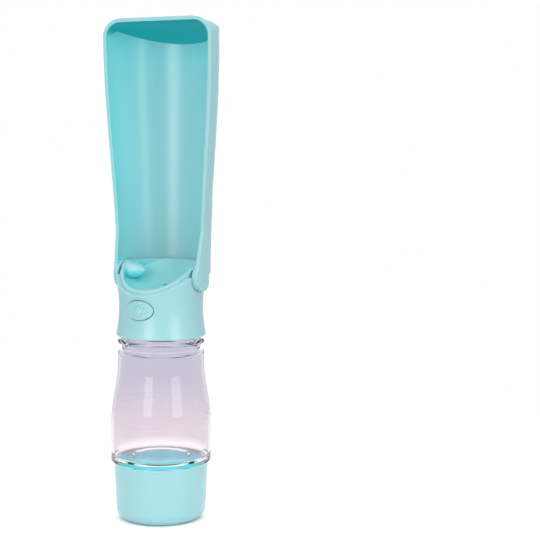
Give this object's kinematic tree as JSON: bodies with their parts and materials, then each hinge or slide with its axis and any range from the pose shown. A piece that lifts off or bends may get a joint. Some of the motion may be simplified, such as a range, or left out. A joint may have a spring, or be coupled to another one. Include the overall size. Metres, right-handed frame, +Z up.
{
  "type": "dog travel water bottle",
  "caption": "Dog travel water bottle: mint fold-over drinking trough on a push-button dispensing head, clear bottle and twist-off food cup.",
  "frame": {"origin": "centre of the food cup's flat base, on the ground", "axes": "+Z up along the bottle; -Y towards the push button and the open side of the trough; +X to the right seen from the button side"},
  "size_m": [0.0926, 0.0792, 0.3781],
  "materials": {
    "mint_plastic": "satin",
    "clear_plastic": "clear, frosted lavender grey",
    "grey_silicone": "matt",
    "white_plastic": "matt",
    "black_rubber": "matt",
    "washer_plastic": "matt",
    "pin_steel": "brushed",
    "screw_steel": "brushed"
  },
  "bodies": {
    "bottle": {"bottle_shell": "clear_plastic", "cup_gasket": "grey_silicone"},
    "cup": {"food_cup": "mint_plastic"},
    "head": {"head_shell": "mint_plastic", "basin": "mint_plastic", "basin_seal": "grey_silicone", "valve_deck": "white_plastic", "neck_gasket": "grey_silicone", "valve_body": "white_plastic", "valve_screws": "screw_steel", "outlet_grommet": "grey_silicone", "spring_plug": "white_plastic", "plug_o_ring": "black_rubber", "hinge_washer_left": "washer_plastic", "hinge_washer_right": "washer_plastic", "return_spring": "screw_steel"},
    "button": {"button_cap": "mint_plastic", "valve_stem": "white_plastic", "stem_o_ring": "black_rubber", "valve_stopper": "grey_silicone", "stopper_screw": "screw_steel"},
    "trough": {"trough": "mint_plastic", "hinge_pin_left": "pin_steel", "hinge_pin_right": "pin_steel"}
  },
  "joints": [
    {"name": "cup_turn", "type": "hinge", "parent": "bottle", "child": "cup", "pos_m": [0, 0, 0.04], "axis": [0, 0, -1], "range_deg": [0, 60]},
    {"name": "head_turn", "type": "hinge", "parent": "bottle", "child": "head", "pos_m": [0, 0, 0.143], "axis": [0, 0, 1], "range_deg": [0, 540]},
    {"name": "button_press", "type": "slide", "parent": "head", "child": "button", "axis": [0, 1, 0], "range_m": [0, 0.003], "stiffness_N_per_m": 600, "springref_m": -0.003, "deforming": ["return_spring"]},
    {"name": "trough_fold", "type": "hinge", "parent": "head", "child": "trough", "pos_m": [0, 0, 0.1858], "axis": [1, 0, 0], "range_deg": [0, 176]}
  ]
}
